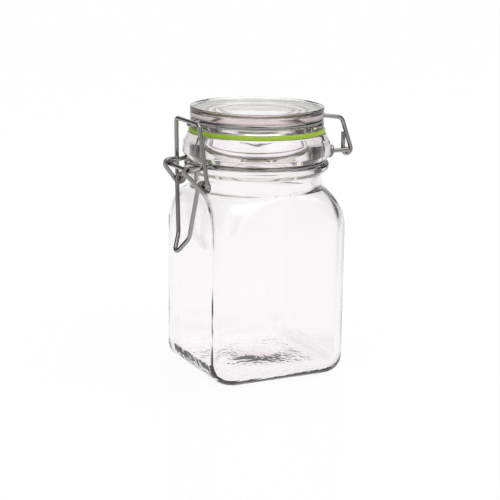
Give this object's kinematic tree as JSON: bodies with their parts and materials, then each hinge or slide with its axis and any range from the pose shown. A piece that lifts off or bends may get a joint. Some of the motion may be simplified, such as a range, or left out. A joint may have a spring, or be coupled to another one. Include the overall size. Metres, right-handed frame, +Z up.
{
  "type": "clip-top glass jar",
  "caption": "Square glass jar with a round neck and glass lid, sealed by a green ring and held shut by a bent-wire clamp opposite a wire hinge.",
  "frame": {"origin": "centre of the base's underside, on the jar's axis", "axes": "+Z up along the jar's axis, -X towards the clamp, +X towards the lid's hinge"},
  "size_m": [0.0926, 0.0682, 0.1224],
  "materials": {
    "jar_glass": "clear pressed glass",
    "lid_glass": "clear pressed glass",
    "seal": "lime-green silicone, satin",
    "wire": "bright drawn steel wire"
  },
  "bodies": {
    "jar": {"glass_jar": "jar_glass", "neck_wire": "wire"},
    "lid": {"glass_lid": "lid_glass", "gasket": "seal", "lid_wire": "wire"},
    "lever": {"lever": "wire"},
    "bail": {"bail": "wire"}
  },
  "joints": [
    {"name": "lid_hinge", "type": "hinge", "parent": "jar", "child": "lid", "pos_m": [0.0477, 0, 0.0994], "axis": [0, 1, 0], "range_deg": [0, 215]},
    {"name": "lever_pivot", "type": "hinge", "parent": "jar", "child": "lever", "pos_m": [-0.0387, 0, 0.0964], "axis": [0, 1, 0], "range_deg": [0, 130]},
    {"name": "bail_pivot", "type": "hinge", "parent": "lever", "child": "bail", "pos_m": [-0.0322, 0, 0.089], "axis": [0, 1, 0], "range_deg": [-143, 0]}
  ],
  "couplings": [
    {"joint": "bail_pivot", "follows": "lever_pivot", "ratio": -1.1}
  ]
}
